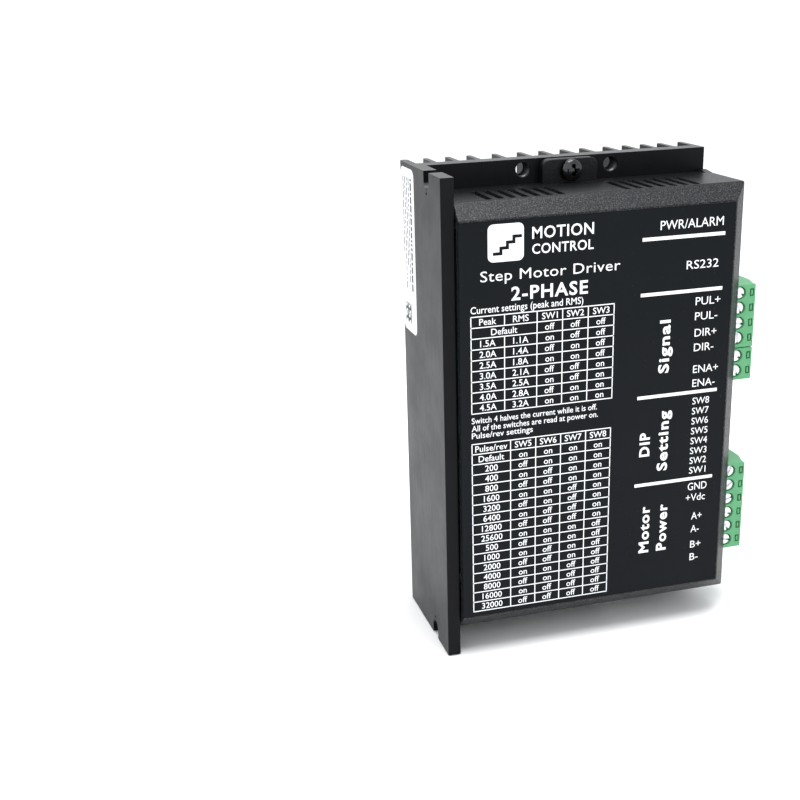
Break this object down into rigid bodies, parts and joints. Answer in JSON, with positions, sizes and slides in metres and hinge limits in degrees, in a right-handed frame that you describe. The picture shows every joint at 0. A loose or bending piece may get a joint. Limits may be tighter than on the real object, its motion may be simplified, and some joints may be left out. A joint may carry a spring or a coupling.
{
  "type": "stepper motor driver module",
  "caption": "Upright motor driver module: finned L-shaped heat sink, chamfered black cover with end vents, pluggable screw terminals, slide-switch bank and serial jack.",
  "frame": {"origin": "under the middle of the module's box, on the plane it stands on", "axes": "+Z from the bottom end to the top end, +X towards the connector side, +Y from the printed face to the cooling fins"},
  "size_m": [0.082, 0.0356, 0.118],
  "materials": {
    "anodised_aluminium": "black anodised, satin",
    "cover_plastic": "black, spark-eroded grain",
    "label_film": "smooth black film, satin",
    "paper_label": "white coated paper",
    "black_steel": "black oxide, glossy",
    "board_laminate": "green solder mask",
    "green_polyamide": "moulded, satin",
    "zinc_steel": "bright zinc plate",
    "black_plastic": "moulded",
    "switch_plastic": "red moulded housing",
    "white_plastic": "white moulded",
    "green_lens": "tinted epoxy",
    "red_lens": "tinted epoxy",
    "capacitor_sleeve": "shrink sleeve",
    "chip_epoxy": "moulded epoxy",
    "silicone_pad": "grey filled silicone",
    "nylon": "natural nylon"
  },
  "bodies": {
    "case": {"heat_sink": "anodised_aluminium", "front_cover": "cover_plastic", "face_label": "label_film", "side_label": "paper_label", "cover_screw_top": "black_steel", "cover_screw_bottom": "black_steel", "circuit_board": "board_laminate", "bulk_capacitor_1": "capacitor_sleeve", "bulk_capacitor_2": "capacitor_sleeve", "processor_chip": "chip_epoxy", "phase_a_power_stage": "chip_epoxy", "phase_b_power_stage": "chip_epoxy", "thermal_pad": "silicone_pad", "switch_bank": "switch_plastic", "serial_jack": "black_plastic", "power_lamp": "green_lens", "alarm_lamp": "red_lens", "board_post_1": "nylon", "board_post_2": "nylon", "board_post_3": "nylon", "board_post_4": "nylon", "signal_header": "green_polyamide", "enable_header": "green_polyamide", "power_header": "green_polyamide"},
    "signal_plug": {"signal_plug": "green_polyamide"},
    "signal_screw_1": {"signal_screw_1": "zinc_steel"},
    "signal_clamp_1": {"signal_clamp_1": "zinc_steel"},
    "signal_screw_2": {"signal_screw_2": "zinc_steel"},
    "signal_clamp_2": {"signal_clamp_2": "zinc_steel"},
    "signal_screw_3": {"signal_screw_3": "zinc_steel"},
    "signal_clamp_3": {"signal_clamp_3": "zinc_steel"},
    "signal_screw_4": {"signal_screw_4": "zinc_steel"},
    "signal_clamp_4": {"signal_clamp_4": "zinc_steel"},
    "enable_plug": {"enable_plug": "green_polyamide"},
    "enable_screw_1": {"enable_screw_1": "zinc_steel"},
    "enable_clamp_1": {"enable_clamp_1": "zinc_steel"},
    "enable_screw_2": {"enable_screw_2": "zinc_steel"},
    "enable_clamp_2": {"enable_clamp_2": "zinc_steel"},
    "power_plug": {"power_plug": "green_polyamide"},
    "power_screw_1": {"power_screw_1": "zinc_steel"},
    "power_clamp_1": {"power_clamp_1": "zinc_steel"},
    "power_screw_2": {"power_screw_2": "zinc_steel"},
    "power_clamp_2": {"power_clamp_2": "zinc_steel"},
    "power_screw_3": {"power_screw_3": "zinc_steel"},
    "power_clamp_3": {"power_clamp_3": "zinc_steel"},
    "power_screw_4": {"power_screw_4": "zinc_steel"},
    "power_clamp_4": {"power_clamp_4": "zinc_steel"},
    "power_screw_5": {"power_screw_5": "zinc_steel"},
    "power_clamp_5": {"power_clamp_5": "zinc_steel"},
    "power_screw_6": {"power_screw_6": "zinc_steel"},
    "power_clamp_6": {"power_clamp_6": "zinc_steel"},
    "switch_slider_1": {"switch_slider_1": "white_plastic"},
    "switch_slider_2": {"switch_slider_2": "white_plastic"},
    "switch_slider_3": {"switch_slider_3": "white_plastic"},
    "switch_slider_4": {"switch_slider_4": "white_plastic"},
    "switch_slider_5": {"switch_slider_5": "white_plastic"},
    "switch_slider_6": {"switch_slider_6": "white_plastic"},
    "switch_slider_7": {"switch_slider_7": "white_plastic"},
    "switch_slider_8": {"switch_slider_8": "white_plastic"}
  },
  "joints": [
    {"name": "signal_plug_pull", "type": "slide", "parent": "case", "child": "signal_plug", "axis": [1, 0, 0], "range_m": [0, 0.009]},
    {"name": "signal_screw_1_turn", "type": "hinge", "parent": "signal_plug", "child": "signal_screw_1", "pos_m": [0.0356, -0.0134, 0.08475], "axis": [0, 1, 0], "range_deg": [0, 1440]},
    {"name": "signal_clamp_1_rise", "type": "slide", "parent": "signal_plug", "child": "signal_clamp_1", "axis": [0, -1, 0], "range_m": [0, 0.0018]},
    {"name": "signal_screw_2_turn", "type": "hinge", "parent": "signal_plug", "child": "signal_screw_2", "pos_m": [0.0356, -0.0134, 0.08094], "axis": [0, 1, 0], "range_deg": [0, 1440]},
    {"name": "signal_clamp_2_rise", "type": "slide", "parent": "signal_plug", "child": "signal_clamp_2", "axis": [0, -1, 0], "range_m": [0, 0.0018]},
    {"name": "signal_screw_3_turn", "type": "hinge", "parent": "signal_plug", "child": "signal_screw_3", "pos_m": [0.0356, -0.0134, 0.07713], "axis": [0, 1, 0], "range_deg": [0, 1440]},
    {"name": "signal_clamp_3_rise", "type": "slide", "parent": "signal_plug", "child": "signal_clamp_3", "axis": [0, -1, 0], "range_m": [0, 0.0018]},
    {"name": "signal_screw_4_turn", "type": "hinge", "parent": "signal_plug", "child": "signal_screw_4", "pos_m": [0.0356, -0.0134, 0.07332], "axis": [0, 1, 0], "range_deg": [0, 1440]},
    {"name": "signal_clamp_4_rise", "type": "slide", "parent": "signal_plug", "child": "signal_clamp_4", "axis": [0, -1, 0], "range_m": [0, 0.0018]},
    {"name": "enable_plug_pull", "type": "slide", "parent": "case", "child": "enable_plug", "axis": [1, 0, 0], "range_m": [0, 0.009]},
    {"name": "enable_screw_1_turn", "type": "hinge", "parent": "enable_plug", "child": "enable_screw_1", "pos_m": [0.0356, -0.0134, 0.06875], "axis": [0, 1, 0], "range_deg": [0, 1440]},
    {"name": "enable_clamp_1_rise", "type": "slide", "parent": "enable_plug", "child": "enable_clamp_1", "axis": [0, -1, 0], "range_m": [0, 0.0018]},
    {"name": "enable_screw_2_turn", "type": "hinge", "parent": "enable_plug", "child": "enable_screw_2", "pos_m": [0.0356, -0.0134, 0.06494], "axis": [0, 1, 0], "range_deg": [0, 1440]},
    {"name": "enable_clamp_2_rise", "type": "slide", "parent": "enable_plug", "child": "enable_clamp_2", "axis": [0, -1, 0], "range_m": [0, 0.0018]},
    {"name": "power_plug_pull", "type": "slide", "parent": "case", "child": "power_plug", "axis": [1, 0, 0], "range_m": [0, 0.009]},
    {"name": "power_screw_1_turn", "type": "hinge", "parent": "power_plug", "child": "power_screw_1", "pos_m": [0.0356, -0.0134, 0.03805], "axis": [0, 1, 0], "range_deg": [0, 1440]},
    {"name": "power_clamp_1_rise", "type": "slide", "parent": "power_plug", "child": "power_clamp_1", "axis": [0, -1, 0], "range_m": [0, 0.0018]},
    {"name": "power_screw_2_turn", "type": "hinge", "parent": "power_plug", "child": "power_screw_2", "pos_m": [0.0356, -0.0134, 0.03424], "axis": [0, 1, 0], "range_deg": [0, 1440]},
    {"name": "power_clamp_2_rise", "type": "slide", "parent": "power_plug", "child": "power_clamp_2", "axis": [0, -1, 0], "range_m": [0, 0.0018]},
    {"name": "power_screw_3_turn", "type": "hinge", "parent": "power_plug", "child": "power_screw_3", "pos_m": [0.0356, -0.0134, 0.03043], "axis": [0, 1, 0], "range_deg": [0, 1440]},
    {"name": "power_clamp_3_rise", "type": "slide", "parent": "power_plug", "child": "power_clamp_3", "axis": [0, -1, 0], "range_m": [0, 0.0018]},
    {"name": "power_screw_4_turn", "type": "hinge", "parent": "power_plug", "child": "power_screw_4", "pos_m": [0.0356, -0.0134, 0.02662], "axis": [0, 1, 0], "range_deg": [0, 1440]},
    {"name": "power_clamp_4_rise", "type": "slide", "parent": "power_plug", "child": "power_clamp_4", "axis": [0, -1, 0], "range_m": [0, 0.0018]},
    {"name": "power_screw_5_turn", "type": "hinge", "parent": "power_plug", "child": "power_screw_5", "pos_m": [0.0356, -0.0134, 0.02281], "axis": [0, 1, 0], "range_deg": [0, 1440]},
    {"name": "power_clamp_5_rise", "type": "slide", "parent": "power_plug", "child": "power_clamp_5", "axis": [0, -1, 0], "range_m": [0, 0.0018]},
    {"name": "power_screw_6_turn", "type": "hinge", "parent": "power_plug", "child": "power_screw_6", "pos_m": [0.0356, -0.0134, 0.019], "axis": [0, 1, 0], "range_deg": [0, 1440]},
    {"name": "power_clamp_6_rise", "type": "slide", "parent": "power_plug", "child": "power_clamp_6", "axis": [0, -1, 0], "range_m": [0, 0.0018]},
    {"name": "switch_1_slide", "type": "slide", "parent": "case", "child": "switch_slider_1", "axis": [0, -1, 0], "range_m": [0, 0.0018]},
    {"name": "switch_2_slide", "type": "slide", "parent": "case", "child": "switch_slider_2", "axis": [0, -1, 0], "range_m": [0, 0.0018]},
    {"name": "switch_3_slide", "type": "slide", "parent": "case", "child": "switch_slider_3", "axis": [0, -1, 0], "range_m": [0, 0.0018]},
    {"name": "switch_4_slide", "type": "slide", "parent": "case", "child": "switch_slider_4", "axis": [0, -1, 0], "range_m": [0, 0.0018]},
    {"name": "switch_5_slide", "type": "slide", "parent": "case", "child": "switch_slider_5", "axis": [0, -1, 0], "range_m": [0, 0.0018]},
    {"name": "switch_6_slide", "type": "slide", "parent": "case", "child": "switch_slider_6", "axis": [0, -1, 0], "range_m": [0, 0.0018]},
    {"name": "switch_7_slide", "type": "slide", "parent": "case", "child": "switch_slider_7", "axis": [0, -1, 0], "range_m": [0, 0.0018]},
    {"name": "switch_8_slide", "type": "slide", "parent": "case", "child": "switch_slider_8", "axis": [0, -1, 0], "range_m": [0, 0.0018]}
  ],
  "couplings": [
    {"joint": "signal_screw_1_turn", "follows": "signal_clamp_1_rise", "rad_per_m": 13963},
    {"joint": "signal_screw_2_turn", "follows": "signal_clamp_2_rise", "rad_per_m": 13963},
    {"joint": "signal_screw_3_turn", "follows": "signal_clamp_3_rise", "rad_per_m": 13963},
    {"joint": "signal_screw_4_turn", "follows": "signal_clamp_4_rise", "rad_per_m": 13963},
    {"joint": "enable_screw_1_turn", "follows": "enable_clamp_1_rise", "rad_per_m": 13963},
    {"joint": "enable_screw_2_turn", "follows": "enable_clamp_2_rise", "rad_per_m": 13963},
    {"joint": "power_screw_1_turn", "follows": "power_clamp_1_rise", "rad_per_m": 13963},
    {"joint": "power_screw_2_turn", "follows": "power_clamp_2_rise", "rad_per_m": 13963},
    {"joint": "power_screw_3_turn", "follows": "power_clamp_3_rise", "rad_per_m": 13963},
    {"joint": "power_screw_4_turn", "follows": "power_clamp_4_rise", "rad_per_m": 13963},
    {"joint": "power_screw_5_turn", "follows": "power_clamp_5_rise", "rad_per_m": 13963},
    {"joint": "power_screw_6_turn", "follows": "power_clamp_6_rise", "rad_per_m": 13963}
  ]
}
